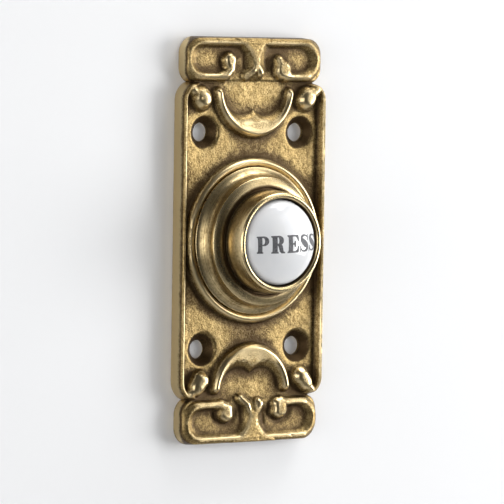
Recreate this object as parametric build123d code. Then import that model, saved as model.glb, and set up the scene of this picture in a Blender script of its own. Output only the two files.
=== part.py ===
from build123d import *
from math import hypot, radians, sqrt, tan
import os

# An antique bell push: a cast brass plate with scroll ornament, a turned boss and a porcelain push.
# Sizes are millimetres. Each piece is modelled lying on its back on the wall plane:
# x runs across the plate, y runs up it and z comes out from the wall.
# The last section stands the pieces up, so that the front faces -Y and +Z is up.

# Plate outline
plate_height = 90.6
body_width = 39.5
body_corner_radius = 4.2
end_block_width = 37.7
end_block_height = 10.2
end_block_corner_radius = 3.6
end_block_overlap = 0.4
notch_fillet = 0.5

# Plate thickness and edges
# Rims and ridges are measured from the outline at the back to the inner edges of their crests
field_thickness = 2.5
rim_rise = 1.6
rim_width = 1.5
rim_edge_fillet = 0.5
side_draft_angle = 3.5
relief_angle = 15.0

# Corner knobs, where the side rims curl inwards
knob_inset_x = 5.35
knob_inset_y = 14.5
knob_radius = 2.3
knob_rise = 2.1
knob_neck_radius = 1.2
knob_neck_length = 4.2
knob_neck_angle = 37.0

# Scrolls in the end blocks
scroll_ridge_width = 1.3
scroll_end_ridge_width = 1.7
scroll_inner_ridge_width = 2.0
scroll_end_roundness = 0.9
stem_width = 0.9
stem_fork_height = 2.6
stem_fork_width = 2.2
scroll_mouth_start = 2.6
scroll_bulb_x = 7.5
scroll_bulb_inset_y = 7.2
scroll_bulb_radius = 1.3
scroll_bulb_rise = 2.1
scroll_bulb_skirt = 0.7

# Crescents between the end blocks and the boss
crescent_inset_y = 11.3
crescent_radius = 11.2
crescent_crest_radius = 9.9
crescent_lobe_x = 3.2
crescent_lobe_radius = 6.3
crescent_lobe_draft = 0.45
crescent_rise = 1.7
crescent_tip_length = 0.6

# Wall screw holes
screw_hole_spacing_x = 26.5
screw_hole_spacing_y = 48.2
screw_hole_diameter = 4.2
screw_countersink_diameter = 7.6
screw_countersink_angle = 90.0

# Cast ring and the pad inside it that the boss seats on
ring_diameter = 36.8
ring_width = 1.7
ring_rise = 1.9
ring_foot = 0.5
pad_thickness = 3.3

# Boss
boss_foot_gap = 0.3
boss_foot_height = 1.0
boss_shoulder_diameter = 28.6
boss_shoulder_height = 7.8
boss_shoulder_roundness = 4.2
boss_cove_depth = 0.6
boss_step_diameter = 24.0
boss_step_height = 8.5
boss_groove_depth = 0.5
boss_groove_width = 0.7
boss_barrel_bulge = 0.25
boss_lip_diameter = 22.2
boss_lip_height = 14.2
boss_lip_drop = 0.7
boss_thread_diameter = 28.0
boss_thread_clearance = 0.05
boss_cavity_diameter = 24.4
boss_retainer_thickness = 0.9

# Porcelain push
push_diameter = 19.0
push_clearance = 0.22
push_dome_height = 5.0
push_dome_edge_radius = 3.0
push_dome_drop = 1.8
push_flange_diameter = 22.4
push_flange_thickness = 1.2
push_flange_play = 0.05
push_wall = 2.8
push_hollow_height = 5.2
push_stem_diameter = 4.4
push_stem_reach = 0.45
push_travel = 1.5

# Contact block
block_pocket_depth = 1.5
block_pocket_clearance = 0.15
block_setback = 0.3
block_flange_diameter = 31.1
block_hub_height = 1.0
block_hub_clearance = 0.15
block_ear_radius = 2.5
block_ear_inset = 1.2
block_thread_gap = 0.1
wire_hole_diameter = 2.5
wire_hole_x = 4.4
wire_hole_y = 8.6

# Screws that hold the block, through its two ears
block_screw_diameter = 1.6
block_screw_head_diameter = 3.2
block_screw_length = 2.5
block_screw_clearance = 0.04
block_screw_hole_end = 0.2

# Contacts and their terminals
contact_thickness = 0.3
contact_width = 4.2
leaf_tip_x = 4.2
leaf_bend_x = 0.4
leaf_root_bend_x = 2.4
leaf_bend_radius = 1.0
leaf_push_gap = 0.05
pip_x = 2.9
pip_radius = 0.9
contact_closing_gap = 0.05
fixed_strip_end = 1.5
terminal_x = 8.2
terminal_screw_diameter = 2.0
terminal_clearance = 0.05
terminal_head_diameter = 3.8
terminal_head_height = 0.9
terminal_slot_width = 0.5
terminal_slot_depth = 0.45
washer_diameter = 4.2
washer_thickness = 0.3
nut_across_flats = 4.0
nut_thickness = 1.0
nut_pocket_clearance = 0.05
terminal_screw_setback = 0.1

# Extra length of a cutting tool past the face that it cuts
tool_excess = 1.0
# How far an added form is sunk into the metal below it
bury = 0.4

# Heights and places worked out from the sizes above
half_height = plate_height / 2
half_body = body_width / 2
half_block = end_block_width / 2
crest_height = field_thickness + rim_rise
end_block_inner_y = half_height - end_block_height
body_half_height = end_block_inner_y + end_block_overlap
ring_radius = ring_diameter / 2
ring_inner_radius = ring_radius - ring_width
ring_height = field_thickness + ring_rise
ear_y = ring_radius - block_ear_inset
block_flange_radius = block_flange_diameter / 2
block_front = block_pocket_depth + block_hub_height
boss_thread_radius = boss_thread_diameter / 2
boss_cavity_radius = boss_cavity_diameter / 2
boss_bore_radius = push_diameter / 2 + push_clearance
boss_groove_height = boss_step_height - boss_groove_depth
retainer_height = boss_groove_height - boss_retainer_thickness
flange_front = retainer_height - push_flange_play
flange_back = flange_front - push_flange_thickness
stem_end = flange_back - push_stem_reach
dome_edge_height = boss_lip_height - push_dome_drop
bulb_y = half_height - scroll_bulb_inset_y
relief_spread = rim_rise * tan(radians(relief_angle))
leaf_top = stem_end - leaf_push_gap
strip_top = block_front + contact_thickness
# The two pips share the gap that is left when the push is right in
pip_height = (leaf_top - contact_thickness - strip_top - push_travel - contact_closing_gap) / 2
sides = (1, -1)


def face_of(*curves):
    """The flat face inside a closed row of lines and arcs."""
    return make_face([edge for curve in curves for edge in curve.edges()])


def arc_about(center, start, end):
    """The shorter arc from start to end about a centre."""
    center, start, end = Vector(center), Vector(start), Vector(end)
    middle = (start - center) + (end - center)
    return ThreePointArc(start, center + middle.normalized() * (start - center).length, end)


def turned(profile):
    """A solid of revolution about z from a profile drawn as (radius, height)."""
    return revolve(Plane.XZ * profile, Axis.Z)


def disc(radius, bottom, top, x=0.0, y=0.0):
    """An upright cylinder between two heights."""
    return Pos(x, y, bottom) * extrude(Circle(radius), top - bottom)


def frustum(lower_radius, upper_radius, bottom, top, x=0.0, y=0.0):
    """An upright cone frustum between two heights."""
    height = top - bottom
    return Pos(x, y, bottom + height / 2) * Cone(lower_radius, upper_radius, height)


def dome(radius, rise, x, y, base, skirt=0.0, sunk=bury):
    """A ball-topped bulb on a straight skirt, sunk a little into the metal that it stands on."""
    cap_rise = rise - skirt
    ball_radius = (radius**2 + cap_rise**2) / (2 * cap_rise)
    half_way = radius / 2
    half_way_height = rise - ball_radius + sqrt(ball_radius**2 - half_way**2)
    profile = face_of(
        Polyline((0, rise), (0, -sunk), (radius, -sunk), (radius, skirt)),
        ThreePointArc((radius, skirt), (half_way, half_way_height), (0, rise)),
    )
    return Pos(x, y, base) * turned(profile)


def relief_cut(mouth):
    """A pocket from its mouth at the crest down to the field, with walls that lean as cast ones do."""
    upside_down = extrude(mouth, rim_rise, taper=relief_angle)
    return Pos(0, 0, crest_height) * mirror(upside_down, Plane.XY)


def to_all_corners(solid):
    """A form of the upper right quarter, and its mirror images in the other three."""
    upper = [solid, mirror(solid, Plane.YZ)]
    return upper + [mirror(each, Plane.XZ) for each in upper]


def to_both_ends(solid):
    """A form of the upper half, and its mirror image in the lower half."""
    return [solid, mirror(solid, Plane.XZ)]


def plate_outline():
    """The body and its two end blocks as one outline, with a rounded notch at each meeting of corners."""
    outer_center = Vector(half_block - end_block_corner_radius, half_height - end_block_corner_radius)
    block_center = Vector(outer_center.X, end_block_inner_y + end_block_corner_radius)
    body_center = Vector(half_body - body_corner_radius, body_half_height - body_corner_radius)
    # The notch's arc touches both corners, so its centre is set by its distance from each of theirs
    block_reach = end_block_corner_radius + notch_fillet
    body_reach = body_corner_radius + notch_fillet
    apart = block_center - body_center
    along = (body_reach**2 - block_reach**2 + apart.length**2) / (2 * apart.length)
    outward = Vector(apart.Y, -apart.X).normalized()
    notch_center = body_center + apart.normalized() * along + outward * sqrt(body_reach**2 - along**2)
    on_block = block_center + (notch_center - block_center) * (end_block_corner_radius / block_reach)
    on_body = body_center + (notch_center - body_center) * (body_corner_radius / body_reach)
    quarter = [
        Line((half_body, 0), (half_body, body_center.Y)),
        arc_about(body_center, (half_body, body_center.Y), on_body),
        arc_about(notch_center, on_body, on_block),
        arc_about(block_center, on_block, (half_block, block_center.Y)),
        Line((half_block, block_center.Y), (half_block, outer_center.Y)),
        arc_about(outer_center, (half_block, outer_center.Y), (outer_center.X, half_height)),
        Line((outer_center.X, half_height), (0, half_height)),
    ]
    upper = quarter + [mirror(curve, Plane.YZ) for curve in quarter]
    return face_of(*upper, *[mirror(curve, Plane.XZ) for curve in upper])


def plate_blank():
    """The plate at its full height, with drafted sides and rounded front edges."""
    blank = extrude(plate_outline(), crest_height, taper=side_draft_angle)
    return fillet(blank.faces().sort_by(Axis.Z)[-1].edges(), rim_edge_fillet)


def field_pocket():
    """The sunk field inside the side rims, open to the end blocks between the knobs."""
    pocket_width = body_width - 2 * rim_width
    pocket_height = 2 * (body_half_height - rim_width)
    shape = RectangleRounded(pocket_width, pocket_height, body_corner_radius - rim_width)
    shape += Rectangle(2 * (half_body - knob_inset_x - knob_radius), 2 * body_half_height)
    return relief_cut(shape)


def scroll_well():
    """The hollow inside half of one end block's scroll, with its mouth beside the stem."""
    well_inner_y = end_block_inner_y + scroll_inner_ridge_width
    well_outer_y = half_height - scroll_ridge_width
    well_start = stem_width / 2
    well_end = half_block - scroll_end_ridge_width
    mouth_end = scroll_bulb_x - scroll_bulb_radius / 2
    mouth_bottom = end_block_inner_y - bury
    mouth_center = ((scroll_mouth_start + mouth_end) / 2, (mouth_bottom + bulb_y) / 2)
    well_center = ((well_start + well_end) / 2, (well_inner_y + well_outer_y) / 2)
    well_height = well_outer_y - well_inner_y
    corner_radius = scroll_end_roundness * well_height / 2
    well = Pos(*well_center) * RectangleRounded(well_end - well_start, well_height, corner_radius)
    well += Pos(*mouth_center) * Rectangle(mouth_end - scroll_mouth_start, bulb_y - mouth_bottom)
    well -= Pos(scroll_bulb_x, bulb_y) * Circle(scroll_bulb_radius)
    return relief_cut(well)


def stem_nick():
    """The notch that forks the foot of the stem between two scrolls."""
    foot_y = end_block_inner_y - bury
    return relief_cut(
        Polygon(
            (0, end_block_inner_y + stem_fork_height),
            (-stem_fork_width / 2, foot_y),
            (stem_fork_width / 2, foot_y),
            align=None,
        )
    )


def scroll_bulb():
    """The round end of a scroll, a little proud of the rims."""
    radius = scroll_bulb_radius + relief_spread
    return dome(radius, scroll_bulb_rise, scroll_bulb_x, bulb_y, field_thickness, scroll_bulb_skirt)


def crescent():
    """The upper moon-shaped ridge: fat in the middle, with thin arms that point to the end block."""
    center_y = half_height - crescent_inset_y
    bottom = field_thickness - bury
    top = field_thickness + crescent_rise
    slope = (crescent_radius - crescent_crest_radius) / crescent_rise
    moon = frustum(crescent_radius + slope * bury, crescent_crest_radius, bottom, top, 0, center_y)
    lobe_top = top + tool_excess
    lobe_crest_radius = crescent_lobe_radius + crescent_lobe_draft
    for across in sides:
        lobe_x = across * crescent_lobe_x
        moon -= frustum(crescent_lobe_radius, lobe_crest_radius, bottom, lobe_top, lobe_x, center_y)
    beyond = Box(4 * crescent_radius, 2 * crescent_radius, 4 * crest_height)
    moon -= Pos(0, center_y + crescent_tip_length + crescent_radius, 0) * beyond
    return moon


def corner_knob():
    """The curled end of a side rim: a domed head, drawn out to a neck that runs into the corner."""
    knob_x = half_body - knob_inset_x
    knob_y = half_height - knob_inset_y
    neck = Rot(-90, 0, 0) * Cone(knob_radius - bury, knob_neck_radius, knob_neck_length)
    neck = Rot(0, 0, -knob_neck_angle) * Pos(0, knob_neck_length / 2, 0) * neck
    knob = Pos(knob_x, knob_y, field_thickness) * neck
    return knob + dome(knob_radius, knob_rise, knob_x, knob_y, field_thickness)


def cast_ring():
    """The raised ring round the boss, with its pad inside, as one turned form."""
    crown = (ring_inner_radius + ring_radius) / 2
    edge_height = ring_height - ring_foot
    profile = face_of(
        Line((0, bury), (ring_radius, bury)),
        Line((ring_radius, bury), (ring_radius, edge_height)),
        ThreePointArc((ring_radius, edge_height), (crown, ring_height), (ring_inner_radius, edge_height)),
        Line((ring_inner_radius, edge_height), (ring_inner_radius, pad_thickness)),
        Line((ring_inner_radius, pad_thickness), (0, pad_thickness)),
        Line((0, pad_thickness), (0, bury)),
    )
    return turned(profile)


def wall_screw_hole(x, y):
    """A countersunk clearance hole through the field."""
    return Pos(x, y, field_thickness) * CounterSinkHole(
        radius=screw_hole_diameter / 2,
        counter_sink_radius=screw_countersink_diameter / 2,
        depth=field_thickness + tool_excess,
        counter_sink_angle=screw_countersink_angle,
    )


def block_outline(clearance):
    """Plan of the contact block: a disc with an ear above and below."""
    outline = Circle(block_flange_radius + clearance)
    ear_span = 2 * ear_y
    outline += Rectangle(2 * (block_ear_radius + clearance), ear_span)
    for side in sides:
        outline += Pos(0, side * ear_y) * Circle(block_ear_radius + clearance)
    return outline


def make_back_plate():
    """The brass casting with its relief, screw holes, boss thread and back pocket."""
    plate = plate_blank() - field_pocket()
    plate -= to_all_corners(scroll_well())
    plate -= to_both_ends(stem_nick())
    plate += to_all_corners(scroll_bulb())
    plate += to_all_corners(corner_knob())
    plate += to_both_ends(crescent())
    plate += cast_ring()
    for across in sides:
        for side in sides:
            plate -= wall_screw_hole(across * screw_hole_spacing_x / 2, side * screw_hole_spacing_y / 2)
    plate -= disc(boss_thread_radius + boss_thread_clearance, -tool_excess, ring_height)
    pocket = extrude(block_outline(block_pocket_clearance), block_pocket_depth + tool_excess)
    plate -= Pos(0, 0, -tool_excess) * pocket
    hole_end = block_setback + block_screw_length + block_screw_hole_end
    hole_radius = block_screw_diameter / 2 + block_screw_clearance
    for side in sides:
        plate -= disc(hole_radius, 0, hole_end, 0, side * ear_y)
    return plate


def make_bezel():
    """The turned boss: foot, cove, rounded shoulder, bellied barrel and rounded lip round the push."""
    foot_radius = ring_inner_radius - boss_foot_gap
    foot_top = pad_thickness + boss_foot_height
    shoulder_radius = boss_shoulder_diameter / 2
    step_radius = boss_step_diameter / 2
    barrel_radius = step_radius - boss_groove_width
    lip_radius = boss_lip_diameter / 2
    lip_edge_height = boss_lip_height - boss_lip_drop
    lip_crown = (lip_radius + boss_bore_radius) / 2
    cove_middle = (
        (foot_radius + shoulder_radius) / 2 - boss_cove_depth,
        (foot_top + boss_shoulder_height) / 2 - boss_cove_depth,
    )
    belly = (
        (barrel_radius + lip_radius) / 2 + boss_barrel_bulge,
        (boss_groove_height + lip_edge_height) / 2,
    )
    thread_end = block_pocket_depth + block_thread_gap
    profile = face_of(
        Polyline(
            (boss_cavity_radius, thread_end),
            (boss_thread_radius, thread_end),
            (boss_thread_radius, pad_thickness),
            (foot_radius, pad_thickness),
            (foot_radius, foot_top),
        ),
        ThreePointArc((foot_radius, foot_top), cove_middle, (shoulder_radius, boss_shoulder_height)),
        RadiusArc(
            (shoulder_radius, boss_shoulder_height),
            (step_radius, boss_step_height),
            -boss_shoulder_roundness,
        ),
        Polyline(
            (step_radius, boss_step_height),
            (step_radius, boss_groove_height),
            (barrel_radius, boss_groove_height),
        ),
        ThreePointArc((barrel_radius, boss_groove_height), belly, (lip_radius, lip_edge_height)),
        ThreePointArc(
            (lip_radius, lip_edge_height),
            (lip_crown, boss_lip_height),
            (boss_bore_radius, lip_edge_height),
        ),
        Polyline(
            (boss_bore_radius, lip_edge_height),
            (boss_bore_radius, retainer_height),
            (boss_cavity_radius, retainer_height),
            (boss_cavity_radius, thread_end),
        ),
    )
    return turned(profile)


def make_push_button():
    """The porcelain push: dome, skirt and retaining flange, hollow round a central stem."""
    push_radius = push_diameter / 2
    flange_radius = push_flange_diameter / 2
    stem_radius = push_stem_diameter / 2
    hollow_radius = push_radius - push_wall
    hollow_top = flange_back + push_hollow_height
    hollow_middle = (stem_radius + hollow_radius) / 2
    hollow_edge = hollow_top - (hollow_radius - stem_radius) / 2
    # The crown's ball runs smoothly into the rounded edge: their centres and the meeting point are in line
    edge_center = push_radius - push_dome_edge_radius
    crown_radius = (edge_center**2 + push_dome_height**2 - push_dome_edge_radius**2) / (
        2 * (push_dome_height - push_dome_edge_radius)
    )
    crown_depth = crown_radius - push_dome_height
    reach = crown_radius / hypot(edge_center, crown_depth)
    meeting = (edge_center * reach, dome_edge_height + crown_depth * (reach - 1))
    apex = (0, dome_edge_height + push_dome_height)
    profile = face_of(
        Polyline(apex, (0, stem_end), (stem_radius, stem_end), (stem_radius, hollow_edge)),
        ThreePointArc((stem_radius, hollow_edge), (hollow_middle, hollow_top), (hollow_radius, hollow_edge)),
        Polyline(
            (hollow_radius, hollow_edge),
            (hollow_radius, flange_back),
            (flange_radius, flange_back),
            (flange_radius, flange_front),
            (push_radius, flange_front),
            (push_radius, dome_edge_height),
        ),
        RadiusArc((push_radius, dome_edge_height), meeting, -push_dome_edge_radius),
        RadiusArc(meeting, apex, -crown_radius),
    )
    return turned(profile)


def make_contact_block():
    """The ebonite base: flange and ears in the plate's pocket, hub inside the boss."""
    block = Pos(0, 0, block_setback) * extrude(block_outline(0), block_pocket_depth - block_setback)
    block += disc(boss_cavity_radius - block_hub_clearance, block_pocket_depth - bury, block_front)
    for across in sides:
        terminal_hole = terminal_screw_diameter / 2 + terminal_clearance
        block -= disc(terminal_hole, 0, block_front + tool_excess, across * terminal_x)
        nut_pocket = RegularPolygon(nut_across_flats / 2 + nut_pocket_clearance, 6, major_radius=False)
        block -= Pos(across * terminal_x, 0) * extrude(nut_pocket, block_setback + nut_thickness)
        wire_hole = wire_hole_diameter / 2
        block -= disc(wire_hole, 0, block_front + tool_excess, across * wire_hole_x, across * wire_hole_y)
    for side in sides:
        block -= Pos(0, side * ear_y) * block_screw_form(block_screw_clearance)
    return block


def block_screw_form(clearance):
    """A countersunk screw driven from the back, or with clearance the hole for it."""
    shank_radius = block_screw_diameter / 2 + clearance
    head_radius = block_screw_head_diameter / 2 + clearance
    head_height = head_radius - shank_radius
    tip = block_setback + block_screw_length
    profile = face_of(
        Polyline(
            (0, block_setback),
            (head_radius, block_setback),
            (shank_radius, block_setback + head_height),
            (shank_radius, tip),
            (0, tip),
            (0, block_setback),
        )
    )
    return turned(profile)


def make_block_screw(y):
    """One slotted screw through an ear of the contact block into the ring."""
    slot = Box(block_screw_head_diameter + tool_excess, terminal_slot_width, 2 * terminal_slot_depth)
    screw = block_screw_form(0) - Pos(0, 0, block_setback) * slot
    return Pos(0, y) * screw


def contact_root(across):
    """The flat round end of a contact strip under its terminal screw."""
    return disc(contact_width / 2, block_front, strip_top, across * terminal_x)


def contact_pip():
    """The small dome on a contact strip where the current crosses."""
    return dome(pip_radius, pip_height, 0, 0, 0, sunk=contact_thickness / 2)


def terminal_bore(across):
    """The clearance hole for a terminal screw through a contact strip and its washer."""
    hole_radius = terminal_screw_diameter / 2 + terminal_clearance
    return disc(hole_radius, 0, stem_end, across * terminal_x)


def make_moving_contact():
    """The bronze leaf: flat root, rising spring arm and flat tip with a pip below it."""
    half_leaf = contact_thickness / 2
    root_level = block_front + half_leaf
    tip_level = leaf_top - half_leaf
    centerline = FilletPolyline(
        (-terminal_x, root_level),
        (-terminal_x + leaf_root_bend_x, root_level),
        (-leaf_bend_x, tip_level),
        (leaf_tip_x, tip_level),
        radius=leaf_bend_radius,
    )
    section = Plane.YZ * Rectangle(contact_width, contact_thickness)
    leaf = sweep(Pos(-terminal_x, 0, root_level) * section, Plane.XZ * centerline)
    leaf += contact_root(-1)
    leaf -= terminal_bore(-1)
    return leaf + Pos(pip_x, 0, leaf_top - contact_thickness) * mirror(contact_pip(), Plane.XY)


def make_fixed_contact():
    """The flat brass strip on the block, with a domed pip that the leaf's pip meets."""
    strip_length = terminal_x - fixed_strip_end
    strip = Pos(terminal_x - strip_length / 2, 0, block_front) * extrude(
        Rectangle(strip_length, contact_width), contact_thickness
    )
    strip += contact_root(1)
    strip -= terminal_bore(1)
    return strip + Pos(pip_x, 0, strip_top) * contact_pip()


def make_terminal_washer(across):
    """A flat washer on a contact strip."""
    washer = disc(washer_diameter / 2, strip_top, strip_top + washer_thickness, across * terminal_x)
    return washer - terminal_bore(across)


def make_terminal_screw(across):
    """A slotted cheese head screw through washer, contact and block into its nut."""
    seat = strip_top + washer_thickness
    top = seat + terminal_head_height
    x = across * terminal_x
    screw = disc(terminal_screw_diameter / 2, block_setback + terminal_screw_setback, seat, x)
    screw += disc(terminal_head_diameter / 2, seat, top, x)
    slot = Box(terminal_slot_width, terminal_head_diameter + tool_excess, 2 * terminal_slot_depth)
    return screw - Pos(x, 0, top) * slot


def make_terminal_nut(across):
    """A hexagon nut let into the back of the block."""
    bore_radius = terminal_screw_diameter / 2 + terminal_clearance / 2
    nut = extrude(RegularPolygon(nut_across_flats / 2, 6, major_radius=False), nut_thickness)
    nut -= disc(bore_radius, -tool_excess, nut_thickness + tool_excess)
    return Pos(across * terminal_x, 0, block_setback) * nut


pieces = {
    "back_plate": make_back_plate(),
    "bezel": make_bezel(),
    "push_button": make_push_button(),
    "contact_block": make_contact_block(),
    "moving_contact": make_moving_contact(),
    "fixed_contact": make_fixed_contact(),
}
for name, across in (("moving", -1), ("fixed", 1)):
    pieces[name + "_terminal_screw"] = make_terminal_screw(across)
    pieces[name + "_terminal_washer"] = make_terminal_washer(across)
    pieces[name + "_terminal_nut"] = make_terminal_nut(across)
for name, side in (("upper", 1), ("lower", -1)):
    pieces[name + "_block_screw"] = make_block_screw(side * ear_y)

# Stand the pieces up against the wall and write them
upright = Plane(origin=(0, 0, 0), x_dir=(1, 0, 0), z_dir=(0, -1, 0)).location
os.makedirs("parts", exist_ok=True)
for name, piece in pieces.items():
    export_step(upright * piece, f"parts/{name}.step")
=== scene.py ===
from math import asin, cos, hypot, pi, radians, sin

import bmesh
import bpy
import numpy as np
from mathutils import Matrix, Vector


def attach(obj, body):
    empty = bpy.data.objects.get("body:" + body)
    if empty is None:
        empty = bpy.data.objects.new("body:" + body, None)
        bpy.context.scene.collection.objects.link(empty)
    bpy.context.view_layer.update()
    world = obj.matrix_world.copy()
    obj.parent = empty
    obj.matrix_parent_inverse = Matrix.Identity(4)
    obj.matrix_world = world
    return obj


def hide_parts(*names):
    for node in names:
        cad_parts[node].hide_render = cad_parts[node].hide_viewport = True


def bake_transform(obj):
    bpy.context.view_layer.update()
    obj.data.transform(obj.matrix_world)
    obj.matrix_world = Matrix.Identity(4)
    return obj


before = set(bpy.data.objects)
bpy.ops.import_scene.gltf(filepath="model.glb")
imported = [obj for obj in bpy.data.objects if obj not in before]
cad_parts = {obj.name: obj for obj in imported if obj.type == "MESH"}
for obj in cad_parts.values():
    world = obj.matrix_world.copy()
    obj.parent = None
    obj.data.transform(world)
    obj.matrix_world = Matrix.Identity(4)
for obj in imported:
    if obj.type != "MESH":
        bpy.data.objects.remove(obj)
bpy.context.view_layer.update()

# An antique bell push: cast brass plate, turned brass boss and porcelain push, fixed to a pale wall.
# Lengths are millimetres until a mesh is made. On the plate x runs across, z up, and height
# out from the wall. The stage, lamps and camera are in metres.
MM = 0.001
FAR_BELOW = -10.0
TINY = 1e-6


# Shared shaping helpers


def smooth_step(t, run=1.0):
    """An even rise from 0 to 1 as t goes from 0 to the run's length."""
    t = np.clip(t / run, 0.0, 1.0)
    return t * t * (3.0 - 2.0 * t)


def soft_max(a, b, blend):
    """The higher of two heights, with the inner corner between them filled as cast metal fills it."""
    share = np.clip(0.5 + 0.5 * (a - b) / blend, 0.0, 1.0)
    return b + (a - b) * share + blend * share * (1.0 - share)


def soft_min(a, b, blend):
    """The lower of two heights, with the outer corner between them worn round."""
    return -soft_max(-a, -b, blend)


def flank(distance, run, hollow):
    """1 on a crest, falling in a hollow curve to 0 at the foot, and below 0 past it."""
    t = distance / run
    inside = (1.0 - np.clip(t, 0.0, 1.0)) ** hollow
    return np.where(t <= 1.0, inside, -0.6 * (t - 1.0))


def domed(share):
    """A round back: 1 in the middle, 0 at the rim and below 0 past it."""
    inside = np.clip(1.0 - share**2, 0.0, 1.0) ** 0.75
    return np.where(share <= 1.0, inside, 2.0 * (1.0 - share))


def round_box(x, z, half_x, half_z, radius):
    """Distance outside (or, below 0, inside) a rectangle with round corners."""
    qx = np.abs(x) - half_x + radius
    qz = np.abs(z) - half_z + radius
    outside = np.hypot(np.maximum(qx, 0.0), np.maximum(qz, 0.0))
    return outside + np.minimum(np.maximum(qx, qz), 0.0) - radius


def along_segment(x, z, start, end):
    """Distance to a straight line between two points, and how far along it the nearest place is."""
    dx, dz = end[0] - start[0], end[1] - start[1]
    t = np.clip(((x - start[0]) * dx + (z - start[1]) * dz) / (dx * dx + dz * dz), 0.0, 1.0)
    return np.hypot(x - start[0] - t * dx, z - start[1] - t * dz), t


NOISE_CELLS = 64


def lattice_noise(x, z, cell, seed):
    """Smooth noise from -1 to 1 with lumps about one cell wide."""
    table = np.random.default_rng(seed).uniform(-1.0, 1.0, (NOISE_CELLS, NOISE_CELLS))
    u, v = x / cell + 200.0, z / cell + 200.0
    i, j = np.floor(u).astype(int), np.floor(v).astype(int)
    s, t = smooth_step(u - i), smooth_step(v - j)
    i, j, right, up = (part % NOISE_CELLS for part in (i, j, i + 1, j + 1))
    low = table[i, j] * (1 - s) + table[right, j] * s
    high = table[i, up] * (1 - s) + table[right, up] * s
    return low * (1 - t) + high * t


def blurred(grid, reach):
    """A grid of heights averaged over its neighbours, three times over, for a soft-edged blur."""
    for _ in range(3):
        for axis in (0, 1):
            padded = np.pad(grid, [(reach, reach) if a == axis else (0, 0) for a in (0, 1)], mode="edge")
            total = np.cumsum(padded, axis=axis)
            total = np.insert(total, 0, 0.0, axis=axis)
            count = 2 * reach + 1
            high = np.take(total, range(count, total.shape[axis]), axis=axis)
            low = np.take(total, range(0, total.shape[axis] - count), axis=axis)
            grid = (high - low) / count
    return grid


# Plate sizes
BODY_HALF = 19.75
BODY_END = 35.5
SHOULDER_RADIUS = 4.2
BLOCK_HALF = 18.85
BLOCK_START = 35.1
PLATE_END = 45.3
BLOCK_CORNER = 3.6
NOTCH_BLEND = 0.7
DRAFT_INSET = 0.25
FIELD = 2.5
CREST = 4.15
EDGE_ROUND = 0.35
FOOT_BLEND = 0.2

# Ring, boss opening and holes
RING_RADIUS = 18.4
RING_INNER = 16.7
RING_CREST = 4.4
RING_EDGE = 3.9
PAD_HEIGHT = 3.3
OPENING_RADIUS = 14.05
OPENING_SEGMENTS = 160
POCKET_RADIUS = 15.7
POCKET_DEPTH = 1.5
EAR_Z = 17.2
EAR_RADIUS = 2.65
BLOCK_SCREW_HOLE = 0.84
BLOCK_SCREW_DEPTH = 3.0
SCREW_X = 13.25
SCREW_Z = 24.1
SCREW_HOLE = 2.1
COUNTERSINK = 3.8
COUNTERSINK_BLEND = 0.12

# Grid of the plate's front
ROW_STEP = 0.22
COLUMN_STEP = 0.215
EDGE_BAND = 2.2
EDGE_STEP = 0.11


def half_width(z):
    """Half the plate's width at each height, with its rounded shoulders, notches and corners."""
    az = np.abs(z)
    body_rise = np.clip(az - (BODY_END - SHOULDER_RADIUS), 0.0, SHOULDER_RADIUS)
    body = BODY_HALF - SHOULDER_RADIUS + np.sqrt(SHOULDER_RADIUS**2 - body_rise**2)
    body = np.where(az > BODY_END, 0.0, body)
    middle = (BLOCK_START + PLATE_END) / 2
    block_rise = np.clip(np.abs(az - middle) - (PLATE_END - middle - BLOCK_CORNER), 0.0, BLOCK_CORNER)
    block = BLOCK_HALF - BLOCK_CORNER + np.sqrt(BLOCK_CORNER**2 - block_rise**2)
    block = np.where(az < BLOCK_START, 0.0, block)
    return soft_max(body, block, NOTCH_BLEND)


def plate_rows():
    """Heights of the grid's rows, close together wherever the outline turns."""
    shoulder = BODY_END - SHOULDER_RADIUS
    notch = (BODY_END + BLOCK_START) / 2 + 0.1
    low = BLOCK_START + BLOCK_CORNER
    high = PLATE_END - BLOCK_CORNER
    straight = np.linspace(0.0, shoulder, round(shoulder / ROW_STEP) + 1)
    shoulder_turn = np.linspace(0.0, asin((notch - shoulder) / SHOULDER_RADIUS), 25)[1:]
    low_turn = np.linspace(asin((low - notch) / BLOCK_CORNER), 0.0, 24)[1:]
    block_side = np.linspace(low, high, 18)[1:]
    high_turn = np.linspace(0.0, pi / 2, 32)[1:]
    upper = np.concatenate(
        [
            straight,
            shoulder + SHOULDER_RADIUS * np.sin(shoulder_turn),
            low - BLOCK_CORNER * np.sin(low_turn),
            block_side,
            high + BLOCK_CORNER * np.sin(high_turn),
        ]
    )
    return np.concatenate([-upper[:0:-1], upper])


def plate_columns():
    """Places of the grid's columns as shares of the half width, closest at the two edges."""
    inner = (BODY_HALF - EDGE_BAND) / BODY_HALF
    middle = np.linspace(0.0, inner, round(inner * BODY_HALF / COLUMN_STEP) + 1)
    edge = np.linspace(inner, 1.0, round(EDGE_BAND / EDGE_STEP) + 1)[1:]
    right = np.concatenate([middle, edge])
    return np.concatenate([-right[:0:-1], right])


# Side rims and the knobs that they curl into
SIDE_RIM_CREST = 0.6
SIDE_RIM_RUN = 0.8
SIDE_RIM_HOLLOW = 1.4
SIDE_RIM_INNER = 14.0
KNOB_LINES = (
    # start, end, radius at each, rise and side of the plate: a head, then a neck into the shoulder
    ((14.5, 31.6), (14.9, 32.1), 2.8, 2.8, 2.6, 1),
    ((14.9, 32.1), (17.3, 33.7), 2.0, 1.6, 1.9, 1),
    ((14.1, 31.1), (15.2, 32.4), 2.6, 2.4, 2.6, -1),
    ((15.2, 32.4), (16.9, 34.0), 2.0, 1.4, 2.0, -1),
)
KNOB_BLEND = 0.3
KNOB_FLAT = 4.8
KNOB_FLAT_BLEND = 0.4


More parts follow.
